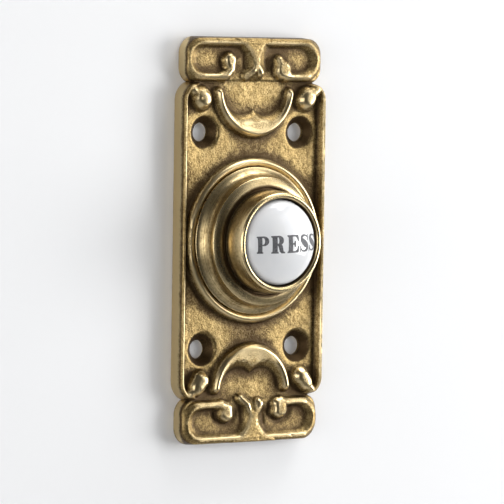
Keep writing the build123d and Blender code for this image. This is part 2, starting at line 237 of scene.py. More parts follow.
def side_rim(ax, az):
    """The rim along the sides and round the shoulders."""
    inside = -round_box(ax, az, BODY_HALF, BODY_END, SHOULDER_RADIUS)
    crest = flank(inside - SIDE_RIM_CREST, SIDE_RIM_RUN, SIDE_RIM_HOLLOW)
    fade = smooth_step(ax - SIDE_RIM_INNER, 2.5) * smooth_step(BODY_END + 0.2 - az, 0.5)
    return FIELD + (CREST - FIELD) * crest * fade - 0.5 * (1.0 - fade)


def corner_knobs(ax, z):
    """Teardrop knobs whose necks run into the shoulders, their tops worn flat."""
    height = np.full_like(ax, FAR_BELOW)
    for start, end, radius_start, radius_end, rise, side in KNOB_LINES:
        distance, t = along_segment(ax, z * side, start, end)
        radius = radius_start + (radius_end - radius_start) * t
        height = soft_max(height, FIELD + rise * domed(distance / radius), KNOB_BLEND)
    return soft_min(height, KNOB_FLAT, KNOB_FLAT_BLEND)


# Scrolls of the end blocks
WELL_FLOOR = 2.75
WELL_FOOT = (37.85, 42.95, 2.5)
WELL_CREST = (37.1, 44.05, 3.4)
WELL_END_RUN = 2.1
WELL_CREST_REACH = (
    # side across, side up and how far out the ridge's crest runs there
    (-1, 1, 18.2),
    (1, 1, 17.2),
    (-1, -1, 17.5),
    (1, -1, 17.5),
)
SCROLL_ROUND = 0.3
WELL_HOLLOW = 1.35
BLOCK_END_DROP = 0.35
BLOCK_END_START = 14.5
SCROLL_END_X = 7.4
SCROLL_LOW_EDGE = 36.05
SCROLL_LOW_RUN = 0.75
SCROLL_MIDDLE_Z = 40.0
STEMS = (
    # side of the plate, middle, half width, flare to each side, flare's power, run of each flank
    (1, 0.05, 0.5, 3.2, 1.7, 2.3, 2.5, 2.9),
    (-1, 0.45, 1.0, 2.9, 2.9, 2.5, 1.9, 1.9),
)
STEM_FLARE_START = 39.3
STEM_FLARE_END = 44.0
STEM_CREST = CREST - 0.05
STEM_FOOT = 38.3


def outline_distance(ax, az, box):
    """Distance outside a well outline given as its reach in x, its two ends in z and its corner radius."""
    reach, low, high, radius = box
    return round_box(ax, az - (low + high) / 2, reach, (high - low) / 2, radius)


def scroll_ridge(x, z):
    """The raised line round an end block's hollow, open at its mouth beside the stem."""
    ax, az = np.abs(x), np.abs(z)
    reach = np.zeros_like(x)
    for across, up, crest_reach in WELL_CREST_REACH:
        reach = np.where((x * across >= 0.0) & (z * up > 0.0), crest_reach, reach)
    up = np.maximum(outline_distance(ax, az, (reach - WELL_END_RUN, *WELL_FOOT)), 0.0)
    past = outline_distance(ax, az, (reach, *WELL_CREST))
    left = np.maximum(-past, 0.0)
    ridge = (up / np.maximum(up + left, TINY)) ** WELL_HOLLOW
    lower_half = smooth_step(SCROLL_MIDDLE_Z - az, 2.0)
    there = 1.0 - lower_half * (1.0 - smooth_step(ax - SCROLL_END_X, 0.8))
    ridge = np.minimum(ridge, flank(SCROLL_LOW_EDGE - az, SCROLL_LOW_RUN, 1.2))
    crest = CREST - BLOCK_END_DROP * smooth_step(ax - BLOCK_END_START, 3.0)
    crest = crest - SCROLL_ROUND * np.clip(past, 0.0, 1.6) ** 2
    return WELL_FLOOR + (crest - WELL_FLOOR) * ridge * there - 0.8 * (1.0 - there)


def scroll_stems(x, z):
    """The stems between the scrolls, which flare into the blocks' outer edges."""
    height = np.full_like(x, FAR_BELOW)
    for side, middle, half, flare_left, flare_right, power, run_left, run_right in STEMS:
        up = z * side
        rise = np.clip((up - STEM_FLARE_START) / (STEM_FLARE_END - STEM_FLARE_START), 0.0, 1.3) ** power
        across = x - middle
        crest = half + np.where(across < 0.0, flare_left, flare_right) * rise
        stem = flank(np.abs(across) - crest, np.where(across < 0.0, run_left, run_right), 1.3)
        there = smooth_step(up - STEM_FOOT + 0.8, 0.8)
        form = WELL_FLOOR + (STEM_CREST - WELL_FLOOR) * stem * there - 0.6 * (1.0 - there)
        height = np.maximum(height, form)
    return height


def strokes(x, z, lines, base):
    """Round-backed strokes, worn flat on top: start, end, half width at each and height at each."""
    height = np.full_like(x, FAR_BELOW)
    for start, end, half_start, half_end, top_start, top_end in lines:
        distance, t = along_segment(x, z, start, end)
        half = half_start + (half_end - half_start) * t
        top = top_start + (top_end - top_start) * t
        height = soft_max(height, base + (top - base) * domed(distance / half), STROKE_BLEND)
    return soft_min(height, STROKE_FLAT, STROKE_FLAT_BLEND)


FORKS = (
    # above: the left arm in two strokes, then the right arm
    ((-0.05, 39.6), (-0.7, 38.1), 1.1, 1.1, 4.1, 4.2),
    ((-0.7, 38.1), (-2.5, 36.9), 1.2, 1.2, 4.1, 3.7),
    ((0.2, 39.6), (1.2, 37.7), 1.1, 1.3, 4.1, 4.35),
    # below: the left arm in two strokes, then the right lobe
    ((-0.2, -39.2), (-1.1, -36.9), 1.2, 1.2, 4.1, 4.25),
    ((-1.1, -36.9), (-2.75, -35.5), 1.2, 1.1, 4.25, 3.9),
    ((0.9, -39.2), (2.2, -36.9), 1.4, 1.6, 4.1, 4.4),
)
STROKE_BLEND = 0.15
STROKE_FLAT = 4.3
STROKE_FLAT_BLEND = 0.25
FORK_BASE = FIELD + 0.4
STEM_BASES = (
    # middle x and z, half width, half length and rise of the mound under each fork
    (0.35, 37.7, 2.9, 2.0, 0.95),
    (0.5, -37.6, 2.2, 1.6, 0.8),
)
CURLS = (
    # above left, above right, below left and below right: each scroll's end as strokes with worn tops
    ((-9.6, 36.9), (-8.0, 37.2), 1.05, 1.4, 4.15, 4.25),
    ((-8.0, 37.2), (-7.1, 38.4), 1.4, 1.6, 4.25, 4.35),
    ((-7.1, 38.4), (-7.3, 40.3), 1.7, 2.0, 4.35, 4.8),
    ((9.8, 36.9), (8.4, 37.4), 1.05, 1.7, 4.15, 4.4),
    ((8.4, 37.4), (7.7, 38.3), 1.7, 2.5, 4.4, 4.9),
    ((7.7, 38.3), (6.7, 40.3), 2.5, 1.5, 4.9, 4.2),
    ((-9.8, -36.85), (-8.2, -36.75), 1.05, 1.4, 4.15, 4.25),
    ((-8.2, -36.75), (-6.6, -37.6), 1.4, 1.7, 4.25, 4.35),
    ((-6.6, -37.6), (-7.0, -38.7), 1.8, 2.3, 4.4, 4.85),
    ((10.2, -36.85), (8.6, -36.6), 1.05, 1.4, 4.15, 4.25),
    ((8.6, -36.6), (7.5, -37.1), 1.4, 1.6, 4.25, 4.35),
    ((7.5, -37.1), (8.1, -38.2), 1.7, 2.4, 4.4, 4.85),
)


def stem_bases(x, z):
    """The low mounds that the forks stand on."""
    height = np.full_like(x, FAR_BELOW)
    for middle_x, middle_z, half_x, half_z, rise in STEM_BASES:
        share = np.hypot((x - middle_x) / half_x, (z - middle_z) / half_z)
        height = np.maximum(height, FIELD + 0.1 + rise * domed(share))
    return height


# Crescents: an outer circle, two hollow lobes that meet in a cusp, and a broad worn middle
CRESCENT_Z = 34.0
CRESCENT_CREST = 4.25
LOBE_X = 3.2
LOBE_RADIUS = {1: 5.6, -1: 5.1}
CRESCENT_INNER_CREST = 9.75
CRESCENT_FACET = {1: 2.8, -1: 3.2}
CRESCENT_FACET_ANGLE = 27.0
CRESCENT_OUTER_CREST = 9.9
CRESCENT_OUTER_FOOT = 11.2
CRESCENT_TIP_ANGLE = 97.0
CRESCENT_TIP_FADE = 12.0
CRESCENT_HOLLOW = 1.25
CRESCENT_SLOPE = {1: 0.22, -1: 0.1}
CRESCENT_ROUND = 2.4
CRESCENT_WIDE = 3.2


def crescent(x, z, side):
    """The moon-shaped ridge at one end: a worn middle, two thin arms and a cusp on its inner side."""
    az = z * side
    radius = np.hypot(x, az - CRESCENT_Z)
    angle = np.abs(np.degrees(np.arctan2(x, CRESCENT_Z - az)))
    facet = CRESCENT_FACET[side] * np.exp(-((angle / CRESCENT_FACET_ANGLE) ** 2))
    crest = CRESCENT_INNER_CREST - facet
    up = np.maximum(np.hypot(np.abs(x) - LOBE_X, az - CRESCENT_Z) - LOBE_RADIUS[side], 0.0)
    left = np.maximum(crest - radius, 0.0)
    inner = (up / np.maximum(up + left, TINY)) ** CRESCENT_HOLLOW
    outer = flank(radius - CRESCENT_OUTER_CREST, CRESCENT_OUTER_FOOT - CRESCENT_OUTER_CREST, 1.2)
    there = smooth_step(CRESCENT_TIP_ANGLE - angle, CRESCENT_TIP_FADE)
    ridge = np.minimum(inner, outer)
    ridge = np.where(ridge > 0.0, 1.0 - (1.0 - np.clip(ridge, 0.0, 1.0)) ** CRESCENT_ROUND, ridge)
    inward = np.clip((CRESCENT_OUTER_CREST - radius) / CRESCENT_WIDE, 0.0, 1.0)
    ridge = ridge * (1.0 - CRESCENT_SLOPE[side] * inward)
    foot = FIELD - 0.25 * (1.0 - smooth_step(ridge / 0.15))
    return foot + (CRESCENT_CREST - FIELD) * ridge * there - 0.7 * (1.0 - there)


def boss_ring(x, z):
    """The round-topped ring, with the flat pad inside it for the boss."""
    radius = np.hypot(x, z)
    middle = (RING_RADIUS + RING_INNER) / 2
    half = (RING_RADIUS - RING_INNER) / 2
    crown = RING_EDGE + (RING_CREST - RING_EDGE) * (1.0 - ((radius - middle) / half) ** 2)
    outside = RING_EDGE - 6.0 * (radius - RING_RADIUS)
    ring = np.where(radius > RING_RADIUS, np.maximum(outside, 0.0), crown)
    return np.where(radius < RING_INNER, PAD_HEIGHT, ring)


# Grooves, pits and the skin of the casting
VALLEY_Z = 35.4
VALLEY_FLOOR = 2.75
VALLEY_HALF = 0.75
VALLEY_INNER = 8.5
CREVICES = (
    # start and end of the grooves beside the stems
    ((-3.1, 42.4), (-3.0, 38.0)),
    ((3.2, 41.0), (3.7, 37.6)),
    ((-2.4, -36.4), (-2.6, -41.4)),
    ((3.6, -38.0), (4.1, -41.6)),
)
CREVICE_DEPTH = 0.25
CREVICE_HALF = 0.4
MOATS = (
    # middle and radius of the grooves under the lower curls
    (-7.05, -37.9, 3.1),
    (8.1, -37.9, 3.15),
)
MOAT_DEPTH = 0.25
MOAT_HALF = 0.7
GROOVE_CEILING = 3.7
SKIN_LUMPS = (
    # depth, width and seed
    (0.05, 3.4, 1),
    (0.035, 0.9, 2),
)
DENTS = (
    # x, z, radius and depth of the casting's pits and knocks
    (-11.2, 44.75, 0.5, 0.35),
    (-13.0, 44.8, 0.4, 0.25),
    (7.2, 44.85, 0.35, 0.2),
    (-3.0, 44.8, 0.3, 0.15),
    (11.2, -44.2, 0.4, 0.25),
    (15.2, -43.4, 0.35, 0.25),
    (2.0, -44.4, 0.5, 0.15),
    (-15.5, 31.8, 0.5, 0.22),
    (-15.9, -32.4, 0.35, 0.25),
    (-15.1, -33.1, 0.3, 0.2),
    (15.9, -32.2, 0.3, 0.2),
    (0.4, 42.6, 0.3, 0.2),
    (19.0, -13.6, 0.4, 0.35),
    (19.1, -8.2, 0.3, 0.2),
    (12.4, -13.0, 0.45, 0.2),
    (-6.0, 39.5, 0.3, 0.12),
)


def plate_relief(x, z):
    """Height of the plate's front at each place, before its holes are drilled."""
    ax, az = np.abs(x), np.abs(z)
    height = FIELD + (WELL_FLOOR - FIELD) * smooth_step(az - BODY_END, 0.6)
    for depth, width, seed in SKIN_LUMPS:
        height = height + depth * lattice_noise(x, z, width, seed)
    for form in (
        side_rim(ax, az),
        corner_knobs(ax, z),
        scroll_ridge(x, z),
        scroll_stems(x, z),
        stem_bases(x, z),
        strokes(x, z, FORKS, FORK_BASE),
        strokes(x, z, CURLS, WELL_FLOOR),
        crescent(x, z, 1),
        crescent(x, z, -1),
    ):
        height = soft_max(height, form, FOOT_BLEND)
    valley = VALLEY_FLOOR + (CREST - VALLEY_FLOOR) * (np.abs(az - VALLEY_Z) / VALLEY_HALF) ** 1.3
    valley = valley + 10.0 * (1.0 - smooth_step(ax - VALLEY_INNER, 1.5))
    height = soft_min(height, valley, FOOT_BLEND)
    low = smooth_step(GROOVE_CEILING - height, 0.5)
    for start, end in CREVICES:
        distance, t = along_segment(x, z, start, end)
        taper = smooth_step(5.0 * t) * smooth_step(5.0 * (1.0 - t))
        height = height - CREVICE_DEPTH * taper * low * np.exp(-((distance / CREVICE_HALF) ** 2))
    for middle_x, middle_z, radius in MOATS:
        distance = np.hypot(x - middle_x, z - middle_z) - radius
        under = smooth_step(middle_z + 1.0 - z, 2.5)
        height = height - MOAT_DEPTH * under * low * np.exp(-((distance / MOAT_HALF) ** 2))
    ring = boss_ring(x, z)
    inside_ring = np.hypot(x, z) < RING_INNER
    height = np.where(inside_ring, ring, soft_max(height, ring, FOOT_BLEND))
    width = half_width(z)
    slope = np.gradient(width, axis=0) / np.gradient(z, axis=0)
    edge = np.minimum((width - ax) / np.sqrt(1.0 + slope**2), PLATE_END - az)
    edge = np.clip(edge, 0.0, EDGE_ROUND)
    height = height - (EDGE_ROUND - np.sqrt(EDGE_ROUND**2 - (EDGE_ROUND - edge) ** 2))
    for dent_x, dent_z, radius, depth in DENTS:
        height = height - depth * np.exp(-((x - dent_x) ** 2 + (z - dent_z) ** 2) / (2 * (radius / 2) ** 2))
    for side_x in (-SCREW_X, SCREW_X):
        for side_z in (-SCREW_Z, SCREW_Z):
            radius = np.hypot(x - side_x, z - side_z)
            cone = FIELD - COUNTERSINK + radius
            cone = np.maximum(cone, FIELD - COUNTERSINK + SCREW_HOLE - 0.3)
            height = soft_min(height, cone, COUNTERSINK_BLEND)
    return height


# Mesh helpers


def placed(name, data):
    """A new object in the scene."""
    made = bpy.data.objects.new(name, data)
    bpy.context.scene.collection.objects.link(made)
    return made


def new_piece(name, points, faces, body):
    """A mesh piece from points in millimetres as (x, height, z), riding on a body of the frame."""
    points = np.asarray(points, float)
    places = np.stack([points[:, 0], -points[:, 1], points[:, 2]], axis=1) * MM
    mesh = bpy.data.meshes.new(name)
    mesh.from_pydata(places.tolist(), [], faces)
    mesh.validate()
    piece = placed(name, mesh)
    tidy_normals(piece)
    if body:
        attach(piece, body)
    return piece


def tidy_normals(piece):
    """Turn every face of a closed mesh outwards."""
    work = bmesh.new()
    work.from_mesh(piece.data)
    bmesh.ops.recalc_face_normals(work, faces=work.faces)
    work.to_mesh(piece.data)
    work.free()


def smooth_shade(piece, sharp_angle):
    """Shade a piece smoothly, apart from edges sharper than an angle in degrees."""
    piece.data.shade_smooth()
    piece.data.set_sharp_from_angle(angle=radians(sharp_angle))


def combine(piece, tool, operation):
    """Join a tool's shape to a piece or take it out, and take the tool out of the scene."""
    boolean = piece.modifiers.new("combine", "BOOLEAN")
    boolean.operation = operation
    boolean.solver = "MANIFOLD"
    boolean.object = tool
    graph = bpy.context.evaluated_depsgraph_get()
    mesh = bpy.data.meshes.new_from_object(piece.evaluated_get(graph))
    piece.modifiers.clear()
    mesh.materials.clear()
    piece.data = mesh
    bpy.data.objects.remove(tool)


def cut(piece, tool):
    """Take a tool's shape out of a piece."""
    combine(piece, tool, "DIFFERENCE")


def turned_mesh(profile, segments):
    """Points and faces of a profile of (radius, height) turned about the boss's axis."""
    points, faces, rings = [], [], []
    for radius, height in profile:
        if radius < TINY:
            rings.append([len(points)] * segments)
            points.append((0.0, height, 0.0))
            continue
        rings.append(list(range(len(points), len(points) + segments)))
        for step in range(segments):
            angle = 2 * pi * step / segments
            points.append((radius * cos(angle), height, radius * sin(angle)))
    for ring, following in zip(rings, rings[1:]):
        for step in range(segments):
            ahead = (step + 1) % segments
            corners = [ring[step], ring[ahead], following[ahead], following[step]]
            face = list(dict.fromkeys(corners))
            if len(face) > 2:
                faces.append(face)
    return points, faces


def prism(name, outline, low, high):
    """A straight-sided cutter with an outline of (x, z) between two heights."""
    count = len(outline)
    points = [(x, height, z) for height in (low, high) for x, z in outline]
    faces = [list(range(count)), list(range(count, 2 * count))]
    for step in range(count):
        ahead = (step + 1) % count
        faces.append([step, ahead, count + ahead, count + step])
    return new_piece(name, points, faces, None)


def circle(radius, x=0.0, z=0.0, start=0.0, turn=2 * pi, steps=64):
    """Points round an arc; a full turn leaves out the repeated last point."""
    count = steps if turn >= 2 * pi else steps + 1
    angles = [start + turn * step / steps for step in range(count)]
    return [(x + radius * cos(angle), z + radius * sin(angle)) for angle in angles]


def paint(piece, name, values):
    """Store one number per point of a mesh for its material."""
    layer = piece.data.attributes.new(name, "FLOAT", "POINT")
    layer.data.foreach_set("value", np.asarray(values, np.float32))


def grid_sample(grid, rows, columns, x, z):
    """Read a grid of plate values at any places, between its rows and columns."""
    share = np.clip(x / np.maximum(half_width(z) - DRAFT_INSET, 1e-3), -1.0, 1.0)
    i = np.clip(np.searchsorted(rows, z) - 1, 0, len(rows) - 2)
    j = np.clip(np.searchsorted(columns, share) - 1, 0, len(columns) - 2)
    s = np.clip((z - rows[i]) / (rows[i + 1] - rows[i]), 0.0, 1.0)
    t = np.clip((share - columns[j]) / (columns[j + 1] - columns[j]), 0.0, 1.0)
    low = grid[i, j] * (1 - t) + grid[i, j + 1] * t
    high = grid[i + 1, j] * (1 - t) + grid[i + 1, j + 1] * t
    return low * (1 - s) + high * s


# Cast plate
WALL_LEVELS = (0.88, 0.6, 0.3, 0.07, 0.0)
BACK_EDGE_ROUND = 0.15
BELOW_BACK = -1.0
ABOVE_FRONT = 6.0
PLATE_SHARP_ANGLE = 62.0
FLAT_BACK = 0.99


def plate_mesh(z, columns, height):
    """Points and faces of the casting: its sculpted front, drafted walls and flat back."""
    front_x = columns[None, :] * (half_width(z) - DRAFT_INSET)
    front_z = z * ((PLATE_END - DRAFT_INSET) / PLATE_END)
    row_count, column_count = z.shape
    points = np.stack([front_x, height, front_z], axis=2).reshape(-1, 3)
    index = np.arange(row_count * column_count).reshape(row_count, column_count)
    quads = [index[:-1, :-1], index[:-1, 1:], index[1:, 1:], index[1:, :-1]]
    faces = np.stack(quads, axis=2).reshape(-1, 4).tolist()
    # The front's edge: along the foot, up the right side, back along the top and down the left
    loop = np.concatenate([index[0, :-1], index[:-1, -1], index[-1, :0:-1], index[:0:-1, 0]])
    top = points[loop]
    along = np.roll(top, -1, axis=0) - np.roll(top, 1, axis=0)
    outward = np.stack([along[:, 2], np.zeros(len(loop)), -along[:, 0]], axis=1)
    outward /= np.linalg.norm(outward, axis=1)[:, None]
    # Where each row's two end points stand in such a ring
    across = column_count - 1
    right = np.arange(row_count) + across
    left = -np.arange(row_count)
    rings = [loop]
    start = len(points)
    layers = [points]
    for share in WALL_LEVELS:
        ring = top + outward * DRAFT_INSET * (1.0 - share)
        ring[:, 1] = top[:, 1] * share
        if share == 0.0:
            ring -= outward * BACK_EDGE_ROUND
        # In order up each side, so that no ring folds over in a notch
        for side in (left, right):
            ring[side, 2] = np.sort(ring[side, 2])
        layers.append(ring)
        rings.append(np.arange(start, start + len(loop)))
        start += len(loop)
    for ring, following in zip(rings, rings[1:]):
        quads = [ring, following, np.roll(following, -1), np.roll(ring, -1)]
        faces += np.stack(quads, axis=1).tolist()
    # The back, in strips from one side to the other
    back = rings[-1]
    left, right = back[left], back[right]
    faces.append([*back[:across], right[0], right[1], left[1]])
    for i in range(1, row_count - 2):
        faces.append([left[i], right[i], right[i + 1], left[i + 1]])
    faces.append([left[-2], right[-2], *back[across + row_count - 1 : 2 * across + row_count]])
    return np.concatenate(layers), [list(map(int, face)) for face in faces]


def drill_plate(plate):
    """Cut the boss's opening, the pocket with its ears for the contact block, and the screw holes."""
    cut(plate, turned_cutter())
    for side in (-1, 1):
        ear = circle(EAR_RADIUS, 0.0, side * EAR_Z, pi if side < 0 else 0.0, pi, 32)
        inner = side * POCKET_RADIUS / 2
        outline = ear + [(side * -EAR_RADIUS, inner), (side * EAR_RADIUS, inner)]
        cut(plate, prism("ear", outline, BELOW_BACK, POCKET_DEPTH))
        pilot = circle(BLOCK_SCREW_HOLE, 0.0, side * EAR_Z)
        cut(plate, prism("block_screw", pilot, BELOW_BACK, BLOCK_SCREW_DEPTH))
        for across in (-1, 1):
            bore = circle(SCREW_HOLE, across * SCREW_X, side * SCREW_Z)
            cut(plate, prism("wall_screw", bore, BELOW_BACK, ABOVE_FRONT))


def make_plate():
    """The sculpted casting, which stands for the plain plate of the frame."""
    rows, columns = plate_rows(), plate_columns()
    z = np.repeat(rows[:, None], len(columns), axis=1)
    height = plate_relief(columns[None, :] * half_width(z), z)
    height = blurred(height, 1) * 0.5 + height * 0.5
    plate = new_piece("plate_casting", *plate_mesh(z, columns, height), None)
    drill_plate(plate)
    paint_plate(plate, rows, columns, height)
    smooth_shade(plate, PLATE_SHARP_ANGLE)
    for face in plate.data.polygons:
        face.use_smooth = face.normal.y < FLAT_BACK
    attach(plate, "plate")
    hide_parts("back_plate")
    return plate


def turned_cutter():
    """The boss's threaded opening and the round pocket behind it, as one stepped cutter."""
    profile = [
        (0.0, BELOW_BACK),
        (POCKET_RADIUS, BELOW_BACK),
        (POCKET_RADIUS, POCKET_DEPTH),
        (OPENING_RADIUS, POCKET_DEPTH),
        (OPENING_RADIUS, ABOVE_FRONT),
        (0.0, ABOVE_FRONT),
    ]
    points, faces = turned_mesh(profile, OPENING_SEGMENTS)
    return new_piece("opening", points, faces, None)


# How far round a place its height is compared, in cells of the grid
WEAR_REACHES = (3, 7, 13)
CRESCENT_WORN_HALF = 4.5
CRESCENT_WORN_BAND = (7.0, 10.6)
BACK_LEVEL = 0.2
BACK_CREST = 0.2
BACK_GRIME_AND_SHADE = 0.3


def paint_plate(plate, rows, columns, height):
    """Mark where hands have worn the casting bright, and darken its hollows, holes and inner walls with
    grime and painted shade.
    """
    count = len(plate.data.vertices)
    places = np.zeros(count * 3, np.float32)
    plate.data.vertices.foreach_get("co", places)
    places = places.reshape(-1, 3) / MM
    x, z, level = places[:, 0], places[:, 2], -places[:, 1]
    grids = [height] + [blurred(height, reach) for reach in WEAR_REACHES]
    surface, near, wide, broad = (grid_sample(grid, rows, columns, x, z) for grid in grids)
    below = smooth_step(surface - level - 0.35, 0.8)
    crest = 0.5 * np.clip((level - near - 0.03) / 0.35, 0.0, 1.0)
    crest = crest + 0.65 * np.clip((level - wide - 0.1) / 0.9, 0.0, 1.0)
    reach = np.hypot(x, np.abs(z) - CRESCENT_Z)
    inner, outer = CRESCENT_WORN_BAND
    facet = smooth_step(CRESCENT_WORN_HALF - np.abs(x), 2.0) * smooth_step(reach - inner, 0.8)
    facet = np.where(np.abs(z) < CRESCENT_Z, facet * smooth_step(outer - reach, 0.4), 0.0)
    crest = (crest + 0.4 * facet) * smooth_step(level - 3.0, 0.9)
    # Places lower than their surroundings are darkened: partly grime, partly painted shade.
    hollow = 1.5 * np.clip(near - level, 0.0, None) + 1.9 * np.clip(wide - level - 0.02, 0.0, None)
    hollow = hollow + 1.8 * np.clip(broad - level - 0.1, 0.0, None)
    grime_and_shade = 1.0 - np.exp(-hollow)
    hole = np.hypot(np.abs(x) - SCREW_X, np.abs(z) - SCREW_Z)
    # The countersinks are darkened up to their rims: dark patina and painted shade.
    deep = 0.75 * smooth_step(COUNTERSINK + 0.05 - hole, 0.3)
    side_wall = smooth_step(np.abs(x) - 0.97 * half_width(z), 0.3)
    crest = np.where(below > 0.5, side_wall, crest)
    # Walls below the front, apart from the outer sides, are darkened: grime and painted shade.
    grime_and_shade = np.where(below > 0.5, 0.9 * (1.0 - side_wall), grime_and_shade + deep)
    back = level < BACK_LEVEL
    crest = np.where(back, BACK_CREST, crest)
    grime_and_shade = np.where(back, BACK_GRIME_AND_SHADE, grime_and_shade)
    paint(plate, "crest", np.clip(crest, 0.0, 1.0))
    paint(plate, "grime_and_shade", np.clip(grime_and_shade, 0.0, 1.0))


# Boss
FOOT_RADIUS = 16.4
FOOT_TOP = 4.3
SHOULDER = (14.3, 7.8)
SHOULDER_MIDDLE = (13.21, 8.31)
COVE_DEPTH = 0.6
STEP = (12.0, 8.5)
GROOVE_FLOOR = 8.0
BARREL_RADIUS = 11.3
BARREL_BULGE = 0.25
LIP_RADIUS = 11.1
LIP_TOP = 14.2
LIP_EDGE = 13.5
BORE_RADIUS = 9.72
CAVITY_RADIUS = 12.2
RETAINER = 7.1
THREAD_RADIUS = 14.0
THREAD_END = 1.6
CORNER_EASE = 0.28
TURNED_SEGMENTS = 192
CORNER_REACH = 0.7
BOSS_WEAR = 0.48
BOSS_SHARP_ANGLE = 50.0


def arc_through(start, middle, end, steps):
    """Points of the arc through three places."""
    (ax, ay), (bx, by), (cx, cy) = start, middle, end
    d = 2 * (ax * (by - cy) + bx * (cy - ay) + cx * (ay - by))
    a2, b2, c2 = ax * ax + ay * ay, bx * bx + by * by, cx * cx + cy * cy
    ux = (a2 * (by - cy) + b2 * (cy - ay) + c2 * (ay - by)) / d
    uy = (a2 * (cx - bx) + b2 * (ax - cx) + c2 * (bx - ax)) / d
    radius = hypot(ax - ux, ay - uy)
    first = np.arctan2(ay - uy, ax - ux)
    half = (np.arctan2(by - uy, bx - ux) - first + pi) % (2 * pi) - pi
    rest = (np.arctan2(cy - uy, cx - ux) - first - half + pi) % (2 * pi) - pi
    angles = [first + (half + rest) * s / steps for s in range(steps + 1)]
    return [(ux + radius * cos(angle), uy + radius * sin(angle)) for angle in angles]


def softened(profile, radius, steps=4, sharpest=20.0):
    """A profile whose corners are rounded a little, as turning and handling leave them."""
    result = []
    count = len(profile)
    for i, corner in enumerate(profile):
        before = Vector(profile[i - 1]) - Vector(corner)
        after = Vector(profile[(i + 1) % count]) - Vector(corner)
        turn = 180.0 - np.degrees(before.angle(after))
        if turn < sharpest:
            result.append(corner)
            continue
        reach = min(radius, before.length * 0.45, after.length * 0.45)
        start = Vector(corner) + before.normalized() * reach
        end = Vector(corner) + after.normalized() * reach
        for step in range(steps + 1):
            t = step / steps
            point = start * (1 - t) ** 2 + Vector(corner) * 2 * t * (1 - t) + end * t**2
            result.append((point.x, point.y))
    return result


def paint_turned(piece, profile, segments):
    """Mark a turned piece's outer corners as worn, and darken its inner corners and bore with grime and
    painted shade.
    """
    count = len(profile)
    corners = np.asarray(profile)
    before = corners - np.roll(corners, 1, axis=0)
    after = np.roll(corners, -1, axis=0) - corners
    turn = np.arctan2(
        before[:, 0] * after[:, 1] - before[:, 1] * after[:, 0], (before * after).sum(axis=1)
    )
    crest, grime_and_shade = np.zeros(count), np.zeros(count)
    # Inner corners are darkened: partly grime, partly painted shade.
    for i in range(count):
        reach = np.hypot(*(corners - corners[i]).T)
        near = np.exp(-((reach / CORNER_REACH) ** 2))
        crest += np.clip(turn[i], 0.0, None) * near
        grime_and_shade += np.clip(-turn[i], 0.0, None) * near
    handled = 0.25 + 0.45 * smooth_step(corners[:, 1] - 12.5, 1.0)
    # The bore is darkened and kept unworn: painted shade and grime.
    bore = smooth_step(BORE_RADIUS + 0.25 - corners[:, 0], 0.2)
    paint(piece, "crest", np.repeat(np.clip(crest * handled + BOSS_WEAR - bore, 0.0, 1.0), segments))
    paint(piece, "grime_and_shade", np.repeat(np.clip(grime_and_shade * 0.8 + bore, 0.0, 1.0), segments))


def make_boss():
    """The turned boss, with its edges eased, which stands for the sharp one of the frame."""
    cove_middle = ((FOOT_RADIUS + SHOULDER[0]) / 2 - COVE_DEPTH, (FOOT_TOP + SHOULDER[1]) / 2 - COVE_DEPTH)
    belly = ((BARREL_RADIUS + LIP_RADIUS) / 2 + BARREL_BULGE, (GROOVE_FLOOR + LIP_EDGE) / 2)
    lip_middle = ((LIP_RADIUS + BORE_RADIUS) / 2, LIP_TOP)
    profile = [
        (CAVITY_RADIUS, THREAD_END),
        (THREAD_RADIUS, THREAD_END),
        (THREAD_RADIUS, PAD_HEIGHT),
        (FOOT_RADIUS, PAD_HEIGHT),
    ]
    profile += arc_through((FOOT_RADIUS, FOOT_TOP), cove_middle, SHOULDER, 16)
    profile += arc_through(SHOULDER, SHOULDER_MIDDLE, STEP, 10)[1:]
    profile += [(STEP[0], GROOVE_FLOOR)]
    profile += arc_through((BARREL_RADIUS, GROOVE_FLOOR), belly, (LIP_RADIUS, LIP_EDGE), 16)
    profile += arc_through((LIP_RADIUS, LIP_EDGE), lip_middle, (BORE_RADIUS, LIP_EDGE), 12)[1:]
    profile += [(BORE_RADIUS, RETAINER), (CAVITY_RADIUS, RETAINER)]
    profile = softened(profile, CORNER_EASE)
    closed = profile + [profile[0]]
    points, faces = turned_mesh(closed, TURNED_SEGMENTS)
    points = points[: len(profile) * TURNED_SEGMENTS]
    faces = [[corner % len(points) for corner in face] for face in faces]
    boss = new_piece("boss", points, faces, "plate")
    paint_turned(boss, profile, TURNED_SEGMENTS)
    smooth_shade(boss, BOSS_SHARP_ANGLE)
    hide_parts("bezel")
    return boss


# Porcelain push
PUSH_RADIUS = 9.5
DOME_FOOT = 12.4
DOME_HEIGHT = 4.98
DOME_EDGE_RADIUS = 3.0
FLANGE_RADIUS = 11.2
FLANGE_FRONT = 7.05
FLANGE_BACK = 5.85
HOLLOW_RADIUS = 6.7
HOLLOW_TOP = 11.05
PUSH_STEM_RADIUS = 2.2
PUSH_STEM_END = 5.4
PUSH_SHARP_ANGLE = 40.0
EDGE_CENTRE = PUSH_RADIUS - DOME_EDGE_RADIUS
CROWN_RISE = DOME_HEIGHT - DOME_EDGE_RADIUS
CROWN_RADIUS = (EDGE_CENTRE**2 + DOME_HEIGHT**2 - DOME_EDGE_RADIUS**2) / (2 * CROWN_RISE)
DOME_APEX = DOME_FOOT + DOME_HEIGHT
CROWN_CENTRE = DOME_APEX - CROWN_RADIUS


